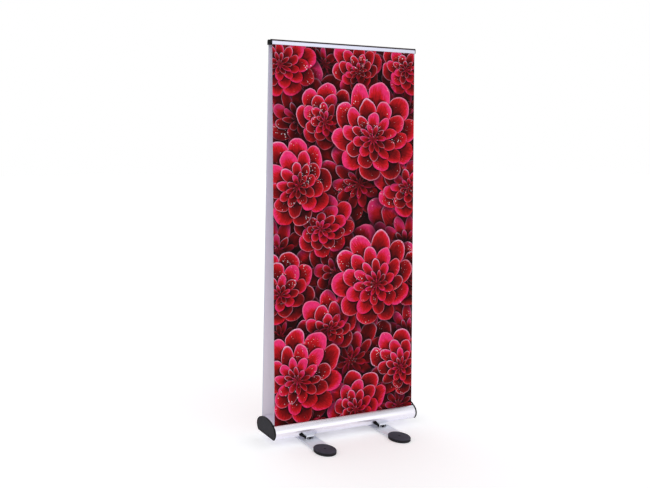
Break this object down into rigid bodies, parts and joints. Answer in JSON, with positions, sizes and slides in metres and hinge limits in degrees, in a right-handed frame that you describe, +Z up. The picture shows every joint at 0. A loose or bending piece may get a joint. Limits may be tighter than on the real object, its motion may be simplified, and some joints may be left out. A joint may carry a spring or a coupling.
{
  "type": "outdoor roll-up banner stand",
  "caption": "Double-sided outdoor roll-up banner stand: low aluminium cassette, sprung mast that gives in the wind, clamp rail and pull-out feet with rubber pads.",
  "frame": {"origin": "on the floor, under the middle of the stand, with the mast upright", "axes": "+X along the graphic's width, to the right seen from the front; -Y is the front, the side that the picture shows; +Z up"},
  "size_m": [0.88, 0.697, 2.096],
  "materials": {
    "anodised": "satin anodised",
    "dark_anodised": "dark anodised",
    "steel": "zinc plated",
    "black_plastic": "moulded, fine grain",
    "rubber": "matt",
    "printed_film": "printed on the outside, pale grey inside"
  },
  "bodies": {
    "root": {"cassette_housing": "anodised", "left_end_cap": "black_plastic", "right_end_cap": "black_plastic", "left_front_cap_screw": "steel", "left_back_cap_screw": "steel", "right_front_cap_screw": "steel", "right_back_cap_screw": "steel", "left_mast_spring": "steel", "right_mast_spring": "steel", "pivot_yoke": "steel", "pivot_pin": "steel", "pivot_pin_ring": "steel", "front_spindle": "steel", "back_spindle": "steel", "front_roller_spring": "steel", "back_roller_spring": "steel", "front_left_foot_sleeve": "anodised", "front_left_foot_bracket": "anodised", "front_left_foot_catch": "black_plastic", "front_right_foot_sleeve": "anodised", "front_right_foot_bracket": "anodised", "front_right_foot_catch": "black_plastic", "back_left_foot_sleeve": "anodised", "back_left_foot_bracket": "anodised", "back_left_foot_catch": "black_plastic", "back_right_foot_sleeve": "anodised", "back_right_foot_bracket": "anodised", "back_right_foot_catch": "black_plastic"},
    "mast": {"mast_socket": "black_plastic", "mast_lower_tube": "anodised", "mast_middle_tube": "anodised", "mast_upper_tube": "anodised", "mast_head": "black_plastic", "top_rail_core": "dark_anodised", "left_rail_cap": "black_plastic", "right_rail_cap": "black_plastic", "front_graphic": "printed_film", "back_graphic": "printed_film"},
    "front_clamp": {"front_rail_clamp": "anodised"},
    "back_clamp": {"back_rail_clamp": "anodised"},
    "front_roller": {"front_roller_tube": "anodised", "front_roller_left_plug": "black_plastic", "front_roller_right_plug": "black_plastic", "front_wound_film": "printed_film"},
    "back_roller": {"back_roller_tube": "anodised", "back_roller_left_plug": "black_plastic", "back_roller_right_plug": "black_plastic", "back_wound_film": "printed_film"},
    "front_left_foot": {"front_left_foot_bar": "anodised", "front_left_foot_pad": "rubber", "front_left_foot_pad_screw": "steel"},
    "front_right_foot": {"front_right_foot_bar": "anodised", "front_right_foot_pad": "rubber", "front_right_foot_pad_screw": "steel"},
    "back_left_foot": {"back_left_foot_bar": "anodised", "back_left_foot_pad": "rubber", "back_left_foot_pad_screw": "steel"},
    "back_right_foot": {"back_right_foot_bar": "anodised", "back_right_foot_pad": "rubber", "back_right_foot_pad_screw": "steel"}
  },
  "joints": [
    {"name": "mast_tilt", "type": "hinge", "parent": "root", "child": "mast", "pos_m": [0, 0, 0.105], "axis": [1, 0, 0], "range_deg": [-16, 16], "stiffness_Nm_per_rad": 280},
    {"name": "front_clamp_open", "type": "hinge", "parent": "mast", "child": "front_clamp", "pos_m": [0, -0.0205, 2.0865], "axis": [-1, 0, 0], "range_deg": [0, 55], "stiffness_Nm_per_rad": 0.4},
    {"name": "back_clamp_open", "type": "hinge", "parent": "mast", "child": "back_clamp", "pos_m": [0, 0.0205, 2.0865], "axis": [1, 0, 0], "range_deg": [0, 55], "stiffness_Nm_per_rad": 0.4},
    {"name": "front_roller_turn", "type": "hinge", "parent": "root", "child": "front_roller", "pos_m": [0, -0.052, 0.068], "axis": [1, 0, 0], "range_deg": [-72, 72]},
    {"name": "back_roller_turn", "type": "hinge", "parent": "root", "child": "back_roller", "pos_m": [0, 0.052, 0.068], "axis": [1, 0, 0], "range_deg": [-72, 72]},
    {"name": "front_left_foot_slide", "type": "slide", "parent": "root", "child": "front_left_foot", "axis": [0, 1, 0], "range_m": [0, 0.088]},
    {"name": "front_right_foot_slide", "type": "slide", "parent": "root", "child": "front_right_foot", "axis": [0, 1, 0], "range_m": [0, 0.088]},
    {"name": "back_left_foot_slide", "type": "slide", "parent": "root", "child": "back_left_foot", "axis": [0, -1, 0], "range_m": [0, 0.088]},
    {"name": "back_right_foot_slide", "type": "slide", "parent": "root", "child": "back_right_foot", "axis": [0, -1, 0], "range_m": [0, 0.088]}
  ],
  "couplings": [
    {"joint": "front_roller_turn", "follows": "mast_tilt", "ratio": 4.29},
    {"joint": "back_roller_turn", "follows": "mast_tilt", "ratio": 4.29}
  ]
}
